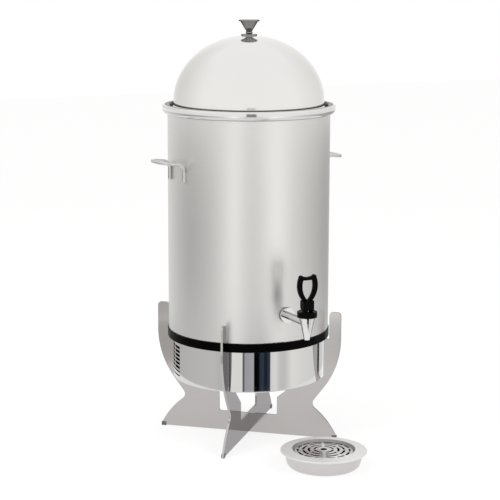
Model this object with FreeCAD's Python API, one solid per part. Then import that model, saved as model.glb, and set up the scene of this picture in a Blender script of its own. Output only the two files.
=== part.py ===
import FreeCAD, Part
import math
import os
from FreeCAD import Vector

# Coffee urn on a cross stand, with a lift-off lid, a lever tap and a loose drip tray.
# Millimetres. The origin is on the urn's axis at the floor, +Z is up and the tap points to -Y.
# A bearing is an angle in degrees from the tap, turning towards +X.

# Vessel
vessel_radius = 135.0
vessel_wall = 1.0
vessel_corner = 5.0
vessel_height = 368.5

# Moulded ring between the vessel and the base
ring_floor_gap = 173.3
ring_height = 14.0
ring_proud = 1.5
ring_recess = 2.8
ring_web = 3.0
ring_web_reach = 17.0
ring_round = 1.5
ring_fit = 0.3

# Base drum
drum_step = 8.0
drum_wall = 1.0
drum_corner = 1.8
drum_height = 77.5

# Vent slots in the drum
vent_bearing = -102.8
vent_width = 23.0
vent_bridge = 3.3
vent_slot = 4.6
vent_pitch = 6.8
vent_rows = 6
vent_top_gap = 20.7
long_vent_slot = 2.4
long_vent_rows = 2

# Collar round the vessel's mouth
collar_sheet = 1.2
collar_reach = 8.5
collar_bead = 8.0
collar_side = 4.5
collar_shoulder = 2.5
collar_lip = 3.2
collar_lip_depth = 3.6
collar_inset = 3.8
collar_overlap = 3.5
ledge_width = 6.7

# Lid
lid_sheet = 1.0
lid_rise = 108.0
lid_skirt = 2.0
lid_flare = 4.6
lid_flare_height = 4.0
lid_wall = 6.0
lid_fit = 1.4

# Knob stack on the lid
washer_radius = 13.0
washer_sheet = 1.6
bead_radius = 5.75
bead_height = 5.0
knob_neck_radius = 5.0
knob_cone_radius = 14.6
knob_cone_height = 16.0
knob_cap_radius = 17.1
knob_cap_height = 2.4
knob_screw_radius = 2.5
knob_screw_grip = 9.0
knob_screw_head = 3.0
knob_screw_head_radius = 5.0
lid_pad_radius = 9.0
lid_pad_sheet = 1.5
screw_fit = 0.1

# Carry handles
handle_rod_radius = 3.1
handle_span = 49.0
handle_reach = 40.0
handle_leg = 27.0
handle_leg_bend = 12.0
handle_tip_bend = 20.0
handle_above_base = 289.5
handle_turn = 3.0
handle_left_rise = 5.0
handle_right_rise = -5.0
handle_weld_width = 3.0

# Tap
tap_stand_off = 68.0
tap_above_base = 48.9
tap_neck_radius = 5.6
tap_flange_radius = 12.5
tap_flange = 3.5
tap_tail_radius = 7.9
tap_tail_inside = 14.0
tap_bore_radius = 3.5
tap_tail_fit = 0.1
tap_wall_fit = 0.3
gasket_radius = 11.5
gasket_sheet = 1.2
inner_gasket_sheet = 2.8
tap_nut_flats = 24.0
tap_nut_height = 6.0
spout_drop = 26.4
spout_radius = 4.5
spout_bore_radius = 3.0
spout_bore_height = 9.0
barrel_rise = 10.1
barrel_radius = 12.6
chamber_radius = 8.0
seat_cone_height = 10.0
spigot_radius = 11.0
spigot_height = 6.3
bonnet_radius = 16.0
bonnet_plate = 1.9
bonnet_fit = 0.2
bonnet_gap = 0.3
seal_flange = 1.6
seal_barrel_radius = 6.0
seal_nose_radius = 4.4
seal_seat_gap = 0.1
stem_radius = 2.5
stem_fit = 0.2
stem_above_pin = 3.5
stem_foot_radius = 3.8
stem_foot_height = 2.0

# Tap lever
hub_half_width = 9.5
hub_radius = 7.4
hub_gap = 0.3
hub_edge = 2.0
hub_above_pin = 9.8
hub_toe_radius = 2.5
hub_slot_fit = 0.3
lever_travel = 40.0
pin_radius = 1.5
pin_short = 0.4
pin_fit = 0.05
pin_seat_fit = 0.02
loop_depth = 7.6
loop_half_width = 17.5
loop_height = 41.2
loop_strand = 7.9
loop_bar = 5.3
loop_dip = 3.2
loop_edge = 2.0
loop_corner = 1.0

# Cross stand
plate_thickness = 3.5
plate_bearing = -42.7
plate_slot_fit = 0.1
arm_stand_off = 26.0
arm_width = 20.0
arm_above_shoulder = 46.7
arm_top_round = 6.0
cradle_gap = 4.5
cradle_floor_gap = 0.3
cradle_corner = 8.0
cradle_ledge = 33.5
bowl_sweep = 141.0
bowl_angle = 37.0
waist_height = 59.3
waist_round = 10.0
waist_angle = 48.7
foot_stand_off = 21.5
foot_bulge = 4.2
window_half_width = 51.2
window_floor = 34.5
window_side = 31.5
window_round = 3.0

# Foot glides
glide_length = 8.0
glide_height = 6.5
glide_wall = 0.8
glide_base = 1.0
glide_inset = 1.0

# Heater under the vessel
spreader_margin = 45.0
spreader_height = 6.0
element_margin = 73.0
element_tube_radius = 4.25
element_gap_angle = 30.0
element_leg = 30.0
insulation_margin = 49.0
insulation_height = 15.0
insulation_hole_radius = 6.5
clamp_margin = 57.0
clamp_sheet = 1.5
stud_radius = 3.0
stud_below_clamp = 8.0
stud_nut_height = 5.0
stud_nut_flats = 10.0
stud_fit = 0.2

# Control parts in the base
thermostat_radius = 9.0
thermostat_height = 14.0
thermostat_offset = 40.0
cutoff_radius = 6.0
cutoff_height = 10.0
cutoff_offset = 38.0
terminal_block_length = 44.0
terminal_block_width = 18.0
terminal_block_height = 16.0
terminal_pitch = 7.0
block_screw_radius = 1.6
block_screw_head_radius = 3.0
block_screw_head = 2.0
block_screw_spacing = 30.0
lead_radius = 1.4
lead_bend = 5.0

# Bolts that tie the base to the vessel
tie_margin = 22.0
tie_count = 3
tie_bolt_radius = 2.5
tie_head_radius = 4.8
tie_head = 2.8
tie_nut_radius = 6.0
tie_nut_height = 8.0
tie_fit = 0.2

# Cord gland at the back of the base
gland_above_drum = 22.0
gland_flange_radius = 9.0
gland_flange = 3.0
gland_body_radius = 6.4
gland_bore_radius = 3.7
gland_inside = 9.0
gland_wall_fit = 0.1
gland_nut_height = 4.0
gland_nut_flats = 18.0

# Drip tray
tray_bearing = 5.4
tray_stand_off = 89.8
tray_height = 30.0
tray_sheet = 1.2
tray_bowl_radius = 64.4
tray_bowl_lean = 7.2
tray_corner = 12.0
tray_flange_reach = 5.0
tray_flange_fall = 1.6
tray_flange_drop = 3.0
tray_flange_round = 1.2
tray_well_margin = 13.6
tray_well_taper = 3.6
tray_well_depth = 3.4
tray_ledge_width = 4.5
grid_fit = 0.5
grid_sheet = 1.2
grid_crown = 2.0
grid_hole_radius = 5.4
grid_ring_first = 15.0
grid_rim = 4.7
grid_slots = (4, 6, 8, 14)
grid_slot = 3.6
grid_bridge = 4.5
grid_bearing = -27.3

# Sizes that follow from the sizes above
drum_radius = vessel_radius - drum_step
tap_reach = vessel_radius + tap_stand_off
tap_tail_end = vessel_radius - tap_tail_inside
arm_radius = vessel_radius + arm_stand_off
foot_radius = vessel_radius + foot_stand_off
spreader_radius = vessel_radius - spreader_margin
element_ring_radius = vessel_radius - element_margin
terminal_block_y = element_ring_radius
insulation_radius = vessel_radius - insulation_margin
clamp_radius = vessel_radius - clamp_margin
tie_circle_radius = drum_radius - tie_margin
tray_distance = vessel_radius + tray_stand_off
tray_foot_radius = tray_bowl_radius - tray_bowl_lean
tray_flange_radius = tray_bowl_radius + tray_flange_reach
tray_well_radius = tray_bowl_radius - tray_well_margin
ring_top = ring_floor_gap + ring_height
vessel_base = ring_top - ring_recess
vessel_top = vessel_base + vessel_height
drum_top = vessel_base - ring_web
drum_base = drum_top - drum_height
ring_radius = vessel_radius + ring_proud
tap_height = vessel_base + tap_above_base

far = 4.0 * vessel_radius
up = Vector(0, 0, 1)


def rod(radius, low, high, x=0.0, y=0.0):
    """An upright cylinder between two heights."""
    return Part.makeCylinder(radius, high - low, Vector(x, y, low))


def rod_y(radius, start, end, x=0.0, z=0.0):
    """A cylinder along Y between two places, start below end."""
    return Part.makeCylinder(radius, end - start, Vector(x, start, z), Vector(0, 1, 0))


def rod_x(radius, start, end, y=0.0, z=0.0):
    """A cylinder along X between two places, start below end."""
    return Part.makeCylinder(radius, end - start, Vector(start, y, z), Vector(1, 0, 0))


def block(low, high):
    """A box between its lowest and highest corners."""
    return Part.makeBox(high[0] - low[0], high[1] - low[1], high[2] - low[2], Vector(*low))


def hexagon(flats, low, high, x=0.0, y=0.0):
    """An upright hexagonal prism, given across its flats."""
    corner = flats / math.sqrt(3.0)
    points = []
    for side in range(7):
        angle = math.radians(60.0 * side)
        points.append(Vector(x + corner * math.cos(angle), y + corner * math.sin(angle), low))
    return Part.Face(Part.makePolygon(points)).extrude(up * (high - low))


def flat(r, z):
    """A point of a turned profile."""
    return Vector(r, 0, z)


def line(start, end):
    return Part.LineSegment(flat(*start), flat(*end)).toShape()


def arc(start, middle, end):
    return Part.Arc(flat(*start), flat(*middle), flat(*end)).toShape()


def quarter(centre, radius, from_angle, to_angle):
    """A round corner of a profile about its centre, between two angles in degrees."""
    ends = []
    for angle in (from_angle, (from_angle + to_angle) / 2.0, to_angle):
        turn = math.radians(angle)
        ends.append((centre[0] + radius * math.cos(turn), centre[1] + radius * math.sin(turn)))
    return arc(*ends)


def turned_edges(edges):
    """A solid of revolution about Z from the closed profile that the edges make."""
    return Part.Face(Part.Wire(Part.__sortEdges__(edges))).revolve(Vector(), up, 360)


def turned(points):
    """A solid of revolution about Z from a closed profile of straight lines."""
    corners = [flat(*point) for point in points]
    return Part.Face(Part.makePolygon(corners + corners[:1])).revolve(Vector(), up, 360)


def rim_edges(shape, radius, height):
    """The circular edges of a turned shape at one radius and one height."""
    found = []
    for edge in shape.Edges:
        if isinstance(edge.Curve, Part.Circle):
            centre = edge.Curve.Center
            if abs(centre.z - height) < 0.01 and abs(edge.Curve.Radius - radius) < 0.01:
                found.append(edge)
    return found


def rounded_can(radius, corner, low, high):
    """A solid cylinder whose lower rim is rounded."""
    can = rod(radius, low, high)
    return can.makeFillet(corner, rim_edges(can, radius, low))


def cup(radius, corner, wall, low, high):
    """An open cup with a rounded lower corner and an even wall."""
    outside = rounded_can(radius, corner, low, high)
    inside = rounded_can(radius - wall, corner - wall, low + wall, high + wall)
    return outside.cut(inside)


def at_bearing(shape, bearing):
    """A shape that points to -Y, turned about Z to a bearing."""
    turned_shape = shape.copy()
    turned_shape.rotate(Vector(), up, bearing)
    return turned_shape


def bent_rod(points, bends, radius):
    """A round rod along straight runs that tangent arcs join, one bend per inner point."""
    corners = [Vector(*point) for point in points]
    edges = []
    start = corners[0]
    for index, bend in enumerate(bends):
        corner = corners[index + 1]
        come = (corner - corners[index]).normalize()
        leave = (corners[index + 2] - corner).normalize()
        half_turn = come.getAngle(leave) / 2.0
        setback = bend * math.tan(half_turn)
        inward = (leave - come).normalize()
        arc_start = corner - come * setback
        arc_middle = corner + inward * (bend / math.cos(half_turn) - bend)
        arc_end = corner + leave * setback
        edges.append(Part.LineSegment(start, arc_start).toShape())
        edges.append(Part.Arc(arc_start, arc_middle, arc_end).toShape())
        start = arc_end
    edges.append(Part.LineSegment(start, corners[-1]).toShape())
    along = (corners[1] - corners[0]).normalize()
    section = Part.Wire(Part.Circle(corners[0], along, radius).toShape())
    return Part.Wire(edges).makePipeShell([section], True, False)


# Vessel and ring

def vessel():
    """Deep-drawn vessel, open at the top, with the hole for the tap's tail."""
    shell = cup(vessel_radius, vessel_corner, vessel_wall, vessel_base, vessel_top)
    hole = rod_y(tap_tail_radius + tap_wall_fit, -far, 0.0, z=tap_height)
    return shell.cut(hole)


def moulded_ring():
    """Ring whose recess holds the vessel and whose skirt goes round the drum's top."""
    recess_radius = vessel_radius + ring_fit / 3.0
    ring = turned([
        (drum_radius + ring_fit, ring_floor_gap),
        (ring_radius, ring_floor_gap),
        (ring_radius, ring_top),
        (recess_radius, ring_top),
        (recess_radius, vessel_base),
        (vessel_radius - ring_web_reach, vessel_base),
        (vessel_radius - ring_web_reach, drum_top),
        (drum_radius + ring_fit, drum_top),
    ])
    rims = rim_edges(ring, ring_radius, ring_floor_gap)
    return ring.makeFillet(ring_round, rims)


# Base drum

def vent_slots():
    """Cutters for the slots: short ones in two columns, then long ones across both."""
    cutters = []
    depth = drum_radius * 0.9
    columns = (-(vent_width + vent_bridge) / 2.0, (vent_width + vent_bridge) / 2.0)
    height = drum_top - vent_top_gap
    for row in range(vent_rows + long_vent_rows):
        middle = height - row * vent_pitch
        if row < vent_rows:
            centres, width, tall = columns, vent_width, vent_slot
        else:
            centres, width, tall = (0.0,), 2.0 * vent_width + vent_bridge, long_vent_slot
        for centre in centres:
            low = (centre - width / 2.0, -drum_radius - 1.0, middle - tall / 2.0)
            high = (centre + width / 2.0, -depth, middle + tall / 2.0)
            cutters.append(block(low, high))
    return at_bearing(Part.makeCompound(cutters), vent_bearing)


def tie_places():
    """Where the tie bolts stand, evenly round their circle."""
    places = []
    for index in range(tie_count):
        angle = math.radians(360.0 * index / tie_count)
        places.append((tie_circle_radius * math.cos(angle), tie_circle_radius * math.sin(angle)))
    return places


def block_screw_places():
    half = block_screw_spacing / 2.0
    return [(-half, terminal_block_y), (half, terminal_block_y)]


gland_height = drum_base + gland_above_drum


def drum():
    """Drum with vents, holes for the tie bolts and block screws, and the gland's hole."""
    shell = cup(drum_radius, drum_corner, drum_wall, drum_base, drum_top)
    cutters = [vent_slots()]
    for x, y in tie_places():
        cutters.append(rod(tie_bolt_radius + tie_fit, drum_base - 1.0, drum_base + drum_wall + 1.0, x, y))
    for x, y in block_screw_places():
        cutters.append(rod(block_screw_radius + screw_fit, drum_base - 1.0, drum_base + drum_wall + 1.0, x, y))
    cutters.append(rod_y(gland_body_radius + gland_wall_fit, 0.0, far, z=gland_height))
    return shell.cut(cutters)


def tie_bolts():
    """Long bolts from under the drum's floor into the nuts under the vessel."""
    bolts = []
    for x, y in tie_places():
        head = rod(tie_head_radius, drum_base - tie_head, drum_base, x, y)
        bolts.append(head.fuse(rod(tie_bolt_radius, drum_base, vessel_base - 1.0, x, y)))
    return Part.makeCompound(bolts)


def tie_nuts():
    """Round nuts welded under the vessel for the tie bolts."""
    nuts = []
    for x, y in tie_places():
        nut = rod(tie_nut_radius, vessel_base - tie_nut_height, vessel_base, x, y)
        hole = rod(tie_bolt_radius + tie_fit / 2.0, vessel_base - tie_nut_height - 1.0, vessel_base - 0.5, x, y)
        nuts.append(nut.cut(hole))
    return Part.makeCompound(nuts)


# Collar and lid

bead_centre_z = vessel_top - collar_overlap + collar_bead
collar_radius = vessel_radius + collar_reach
collar_top = bead_centre_z + collar_side + collar_shoulder
collar_mouth = vessel_radius - collar_inset
ledge_top = collar_top - collar_lip - collar_lip_depth


def collar():
    """Rolled collar: a round bead outside, a lip over the mouth and a ledge for the lid."""
    sheet = collar_sheet
    bead = (collar_radius - collar_bead, bead_centre_z)
    crest = (collar_radius - collar_shoulder, bead_centre_z + collar_side)
    lip = (collar_mouth + collar_lip, collar_top - collar_lip)
    hem_low = bead_centre_z - collar_bead
    inner_bead = collar_bead - sheet
    hem = vessel_radius + sheet
    inner_low = bead_centre_z - math.sqrt(inner_bead ** 2 - (hem - bead[0]) ** 2)
    bead_end = (collar_radius - sheet, bead_centre_z)
    inner_start = math.degrees(math.atan2(inner_low - bead[1], hem - bead[0]))
    ledge_inner = collar_mouth - ledge_width
    edges = [
        line((vessel_radius, vessel_top), (vessel_radius, hem_low)),
        line((vessel_radius, hem_low), (bead[0], hem_low)),
        quarter(bead, collar_bead, -90.0, 0.0),
        line((collar_radius, bead[1]), (collar_radius, crest[1])),
        quarter(crest, collar_shoulder, 0.0, 90.0),
        line((crest[0], collar_top), (lip[0], collar_top)),
        quarter(lip, collar_lip, 90.0, 180.0),
        line((collar_mouth, lip[1]), (collar_mouth, ledge_top)),
        line((collar_mouth, ledge_top), (ledge_inner, ledge_top)),
        line((ledge_inner, ledge_top), (ledge_inner, ledge_top - sheet)),
        line((ledge_inner, ledge_top - sheet), (collar_mouth + sheet, ledge_top - sheet)),
        line((collar_mouth + sheet, ledge_top - sheet), (collar_mouth + sheet, lip[1])),
        quarter(lip, collar_lip - sheet, 180.0, 90.0),
        line((lip[0], collar_top - sheet), (crest[0], collar_top - sheet)),
        quarter(crest, collar_shoulder - sheet, 90.0, 0.0),
        line((collar_radius - sheet, crest[1]), bead_end),
        quarter(bead, inner_bead, 0.0, inner_start),
        line((hem, inner_low), (hem, vessel_top)),
        line((hem, vessel_top), (vessel_radius, vessel_top)),
    ]
    return turned_edges(edges)


skirt_radius = collar_mouth - lid_fit
flare_low = ledge_top + lid_skirt
flare_top = flare_low + lid_flare_height
dome_base = flare_top + lid_wall
dome_flat_radius = skirt_radius - lid_flare


def dome_body(offset):
    """The solid inside the lid's outline, drawn in by an offset."""
    radius = dome_flat_radius - offset
    rise = lid_rise - offset
    ellipse = Part.Ellipse(flat(radius, dome_base), flat(0, dome_base + rise), flat(0, dome_base))
    curve = Part.ArcOfEllipse(ellipse, 0.0, math.pi / 2.0).toShape()
    skirt = skirt_radius - offset
    mid_flare = (radius + lid_flare * 0.35, flare_top - lid_flare_height * 0.6)
    edges = [
        curve,
        line((0, dome_base + rise), (0, ledge_top)),
        line((0, ledge_top), (skirt, ledge_top)),
        line((skirt, ledge_top), (skirt, flare_low)),
        arc((skirt, flare_low), mid_flare, (radius, flare_top)),
        line((radius, flare_top), (radius, dome_base)),
    ]
    return turned_edges(edges)


dome_top = dome_base + lid_rise
stack_base = dome_top + washer_sheet
bead_top = stack_base + bead_height
knob_top = bead_top + knob_cone_height
pad_bottom = dome_top - lid_sheet - lid_pad_sheet


def lid():
    """Spun dome whose short skirt flares out to stand on the collar's ledge."""
    hole = rod(knob_screw_radius + screw_fit, dome_base, dome_top + 1.0)
    return dome_body(0.0).cut([dome_body(lid_sheet), hole])


def knob_washer():
    """Polished disc under the knob, its underside shaped to the dome."""
    disc = rod(washer_radius, dome_top - 2.0, stack_base)
    bore = rod(knob_screw_radius + screw_fit, dome_base, stack_base + 1.0)
    return disc.cut([dome_body(0.0), bore])


def knob_bead():
    """Small rounded bead between the disc and the knob."""
    rounding = bead_height / 2.0
    reach = bead_radius - rounding
    edges = [
        line((knob_screw_radius + screw_fit, stack_base), (reach, stack_base)),
        quarter((reach, stack_base + rounding), rounding, -90.0, 90.0),
        line((reach, bead_top), (knob_screw_radius + screw_fit, bead_top)),
        line((knob_screw_radius + screw_fit, bead_top), (knob_screw_radius + screw_fit, stack_base)),
    ]
    return turned_edges(edges)


def knob():
    """Turned knob: a cone that widens upwards to a thin cap disc."""
    body = turned([
        (0, bead_top),
        (knob_neck_radius, bead_top),
        (knob_cone_radius, knob_top),
        (knob_cap_radius, knob_top),
        (knob_cap_radius, knob_top + knob_cap_height),
        (0, knob_top + knob_cap_height),
    ])
    rims = rim_edges(body, knob_cap_radius, knob_top + knob_cap_height)
    rims += rim_edges(body, knob_cap_radius, knob_top)
    body = body.makeFillet(knob_cap_height * 0.4, rims)
    bore = rod(knob_screw_radius + screw_fit / 2.0, bead_top - 1.0, bead_top + knob_screw_grip + 1.0)
    return body.cut(bore)


def lid_pad():
    """Soft washer between the screw's head and the inside of the dome."""
    disc = rod(lid_pad_radius, pad_bottom, dome_top)
    bore = rod(knob_screw_radius + screw_fit, pad_bottom - 1.0, dome_top + 1.0)
    return disc.common(dome_body(lid_sheet)).cut(bore)


def knob_screw():
    """Screw from inside the dome up into the knob."""
    head = rod(knob_screw_head_radius, pad_bottom - knob_screw_head, pad_bottom)
    return head.fuse(rod(knob_screw_radius, pad_bottom, bead_top + knob_screw_grip))


# Carry handles

def carry_handle(bearing, rise):
    """One bent rod: a level loop whose two ends turn down and are welded to the wall."""
    half = handle_span / 2.0
    leg_y = -math.sqrt((vessel_radius + handle_rod_radius) ** 2 - half ** 2)
    tip_y = -(vessel_radius + handle_reach)
    top = vessel_base + handle_above_base
    low = top - handle_leg
    path = [
        (-half, leg_y, low),
        (-half, leg_y, top),
        (-half, tip_y, top + rise),
        (half, tip_y, top + rise),
        (half, leg_y, top),
        (half, leg_y, low),
    ]
    bends = (handle_leg_bend, handle_tip_bend, handle_tip_bend, handle_leg_bend)
    bent = bent_rod(path, bends, handle_rod_radius)
    pieces = []
    weld_half = handle_weld_width / 2.0
    inner_y = leg_y + 2.0 * handle_rod_radius
    for side in (-half, half):
        pieces.append(Part.makeSphere(handle_rod_radius, Vector(side, leg_y, low)))
        pieces.append(block((side - weld_half, leg_y, low), (side + weld_half, inner_y, top - handle_leg_bend)))
    joined = bent.fuse(pieces).cut(rod(vessel_radius, low - 2.0 * handle_rod_radius, top + far / 4.0))
    return at_bearing(joined, bearing)


# Tap

spout_tip = tap_height - spout_drop
barrel_top = tap_height + barrel_rise
spigot_top = barrel_top + spigot_height
bonnet_top = spigot_top + seal_flange + bonnet_plate
pin_height = bonnet_top + hub_gap + hub_radius
flange_back = vessel_radius + gasket_sheet
flange_front = flange_back + tap_flange
gasket_inside_face = vessel_radius - vessel_wall - inner_gasket_sheet


def at_tap(shape):
    """A shape made on the origin's axis, moved out to the tap's axis."""
    moved = shape.copy()
    moved.translate(Vector(0, -tap_reach, 0))
    return moved


def tap_body():
    """Cast tap: tapering barrel, neck, wall flange and threaded tail in one piece."""
    barrel = turned([
        (0, spout_tip),
        (spout_radius, spout_tip),
        (barrel_radius, barrel_top),
        (spigot_radius, barrel_top),
        (spigot_radius, spigot_top),
        (0, spigot_top),
    ])
    seat_low = spout_tip + spout_bore_height
    chamber = turned([
        (0, spout_tip - 1.0),
        (spout_bore_radius, spout_tip - 1.0),
        (spout_bore_radius, seat_low),
        (chamber_radius, seat_low + seat_cone_height),
        (chamber_radius, spigot_top + 1.0),
        (0, spigot_top + 1.0),
    ])
    neck = rod_y(tap_neck_radius, -tap_reach, -flange_front, z=tap_height)
    flange = rod_y(tap_flange_radius, -flange_front, -flange_back, z=tap_height)
    tail = rod_y(tap_tail_radius, -flange_back, -tap_tail_end, z=tap_height)
    bore = rod_y(tap_bore_radius, -tap_reach, -tap_tail_end + 1.0, z=tap_height)
    return at_tap(barrel).fuse([neck, flange, tail]).cut([at_tap(chamber), bore])


def tap_gasket():
    """Soft washer between the tap's flange and the outside of the vessel."""
    disc = rod_y(gasket_radius, -flange_back, -vessel_radius * 0.9, z=tap_height)
    bore = rod_y(tap_tail_radius + tap_tail_fit, -far, 0.0, z=tap_height)
    return disc.cut([rod(vessel_radius, vessel_base, vessel_top), bore])


def tap_inner_gasket():
    """Soft washer between the nut and the inside of the vessel."""
    disc = rod_y(gasket_radius, -vessel_radius, -gasket_inside_face, z=tap_height)
    bore = rod_y(tap_tail_radius + tap_tail_fit, -far, 0.0, z=tap_height)
    inside = rod(vessel_radius - vessel_wall, vessel_base, vessel_top)
    return disc.common(inside).cut(bore)


def tap_nut():
    """Hexagonal nut on the tail, inside the vessel."""
    nut = hexagon(tap_nut_flats, 0.0, tap_nut_height)
    nut = nut.cut(rod(tap_tail_radius + tap_tail_fit, -1.0, tap_nut_height + 1.0))
    nut.rotate(Vector(), Vector(1, 0, 0), -90)
    nut.translate(Vector(0, -gasket_inside_face, tap_height))
    return nut


def tap_seal():
    """Soft seat cup: a flange held under the bonnet and a nose that closes the spout."""
    slope = seat_cone_height / (chamber_radius - spout_bore_radius)
    seat_low = spout_tip + spout_bore_height
    nose_low = seat_low + seal_seat_gap + (seal_nose_radius - spout_bore_radius) * slope
    shoulder = nose_low + (seal_barrel_radius - seal_nose_radius) * slope
    flange_low = spigot_top
    seal = turned([
        (0, nose_low),
        (seal_nose_radius, nose_low),
        (seal_barrel_radius, shoulder),
        (seal_barrel_radius, flange_low),
        (spigot_radius, flange_low),
        (spigot_radius, flange_low + seal_flange),
        (0, flange_low + seal_flange),
    ])
    foot_low = nose_low + stem_foot_height
    foot_room = rod(stem_foot_radius, foot_low, foot_low + stem_foot_height)
    stem_room = rod(stem_radius, foot_low, flange_low + seal_flange + 1.0)
    return at_tap(seal.cut([foot_room, stem_room]))


def tap_stem():
    """Stem with a foot held in the seat cup and a cross hole for the lever's pin."""
    slope = seat_cone_height / (chamber_radius - spout_bore_radius)
    seat_low = spout_tip + spout_bore_height
    nose_low = seat_low + seal_seat_gap + (seal_nose_radius - spout_bore_radius) * slope
    foot_low = nose_low + stem_foot_height
    stem = rod(stem_radius, foot_low, pin_height + stem_above_pin)
    foot = rod(stem_foot_radius, foot_low, foot_low + stem_foot_height)
    hole = rod_x(pin_radius + pin_fit, -stem_radius - 1.0, stem_radius + 1.0, z=pin_height)
    return at_tap(stem.fuse(foot).cut(hole))


def tap_bonnet():
    """Screw cap that holds the seat cup down on the barrel."""
    low = barrel_top + bonnet_gap
    plate_low = bonnet_top - bonnet_plate
    cap = rod(bonnet_radius, low, bonnet_top)
    rims = rim_edges(cap, bonnet_radius, bonnet_top) + rim_edges(cap, bonnet_radius, low)
    cap = cap.makeFillet(bonnet_plate / 2.0, rims)
    socket = rod(spigot_radius + bonnet_fit, low - 1.0, plate_low)
    hole = rod(stem_radius + stem_fit, low, bonnet_top + 1.0)
    return at_tap(cap.cut([socket, hole]))


def lever_hub():
    """Hub whose round heel turns clear of the bonnet and whose toe lifts the stem."""
    toe = hub_radius - hub_toe_radius
    low = pin_height - hub_radius
    high = pin_height + hub_above_pin
    diagonal = hub_toe_radius * math.sqrt(0.5)

    def side(y, z):
        return Vector(-hub_half_width, y, z)

    toe_middle = side(-toe - diagonal, pin_height - toe - diagonal)
    heel = hub_radius * math.sqrt(0.5)
    heel_middle = side(heel, pin_height - heel)
    edges = [
        Part.LineSegment(side(-hub_radius, high), side(-hub_radius, pin_height - toe)).toShape(),
        Part.Arc(side(-hub_radius, pin_height - toe), toe_middle, side(-toe, low)).toShape(),
        Part.LineSegment(side(-toe, low), side(0, low)).toShape(),
        Part.Arc(side(0, low), heel_middle, side(hub_radius, pin_height)).toShape(),
        Part.LineSegment(side(hub_radius, pin_height), side(hub_radius, high)).toShape(),
        Part.LineSegment(side(hub_radius, high), side(-hub_radius, high)).toShape(),
    ]
    hub = Part.Face(Part.Wire(edges)).extrude(Vector(2.0 * hub_half_width, 0, 0))
    upright = [edge for edge in hub.Edges if edge.BoundBox.XLength + edge.BoundBox.YLength < 0.01]
    return hub.makeFillet(hub_edge, upright)


def stem_slot():
    """Room in the hub for the stem, from upright to the end of the lever's travel."""
    half = stem_radius + hub_slot_fit
    travel = math.radians(lever_travel)
    edge_y = -half * math.cos(travel)
    edge_z = half * math.sin(travel)
    reach = 2.0 * hub_radius
    far_z = edge_z - (reach + edge_y) / math.tan(travel)
    outline = [(half, 0), (half, -reach), (-reach, -reach), (-reach, far_z), (edge_y, edge_z), (half, 0)]
    points = [Vector(-half, y, pin_height + z) for y, z in outline]
    room = Part.Face(Part.makePolygon(points)).extrude(Vector(2.0 * half, 0, 0))
    eye_room = math.hypot(stem_radius, stem_above_pin) + hub_slot_fit
    return room.fuse(rod_x(eye_room, -half, half, z=pin_height))


def lever_loop():
    """Open loop of the lever: two bowed strands and a dished bar between two horns."""
    low = pin_height + hub_above_pin - 1.0
    top = pin_height + hub_above_pin + loop_height
    wide = low + loop_height * 0.48
    bar_low = top - loop_dip - loop_bar
    foot = hub_half_width - hub_edge
    horn_x = loop_half_width * 0.71
    side_top = (loop_half_width * 0.88, top - 4.0)
    horn_inner = (loop_half_width * 0.48, top - loop_dip * 0.55)
    hole_half = loop_half_width - loop_strand
    tip = 1.2
    tip_z = low + 2.6
    outer = [
        line((-foot, low), (foot, low)),
        arc((foot, low), (loop_half_width, wide), side_top),
        arc(side_top, (horn_x, top), horn_inner),
        arc(horn_inner, (0, top - loop_dip), (-horn_inner[0], horn_inner[1])),
        arc((-horn_inner[0], horn_inner[1]), (-horn_x, top), (-side_top[0], side_top[1])),
        arc((-side_top[0], side_top[1]), (-loop_half_width, wide), (-foot, low)),
    ]
    corner = (hole_half * 0.88, bar_low + 0.4)
    inner = [
        arc((-tip, tip_z), (0, tip_z - tip), (tip, tip_z)),
        arc((tip, tip_z), (hole_half, wide), corner),
        arc(corner, (0, bar_low), (-corner[0], corner[1])),
        arc((-corner[0], corner[1]), (-hole_half, wide), (-tip, tip_z)),
    ]
    depth = Vector(0, loop_depth, 0)
    solid = Part.Face(Part.Wire(outer)).extrude(depth)
    hole = Part.Face(Part.Wire(inner)).extrude(depth)
    solid = solid.cut(hole)
    solid.translate(Vector(0, -loop_depth / 2.0, 0))
    corners = [edge for edge in solid.Edges if edge.BoundBox.XLength + edge.BoundBox.ZLength < 0.01]
    corners = [edge for edge in corners if edge.BoundBox.ZMin > low + 0.01]
    solid = solid.makeFillet(loop_corner, corners)
    rims = [edge for edge in solid.Edges if edge.BoundBox.YLength < 0.01 and edge.BoundBox.ZMax > low + 0.01]
    return solid.makeFillet(loop_edge, rims)


def tap_lever():
    """Moulded lever: loop and hub in one piece, slotted for the stem and bored for the pin."""
    reach = hub_half_width + 1.0
    bore = rod_x(pin_radius + pin_seat_fit, -reach, reach, z=pin_height)
    lever = lever_hub().fuse(lever_loop()).cut([stem_slot(), bore])
    return at_tap(lever)


def tap_pin():
    """Pin through the hub and the stem, a little short of the hub's sides."""
    reach = hub_half_width - pin_short
    return at_tap(rod_x(pin_radius, -reach, reach, z=pin_height))


# Cross stand

shoulder_height = ring_floor_gap
arm_top = shoulder_height + arm_above_shoulder
cradle_radius = drum_radius + cradle_gap
cradle_floor = drum_base - cradle_floor_gap


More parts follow.
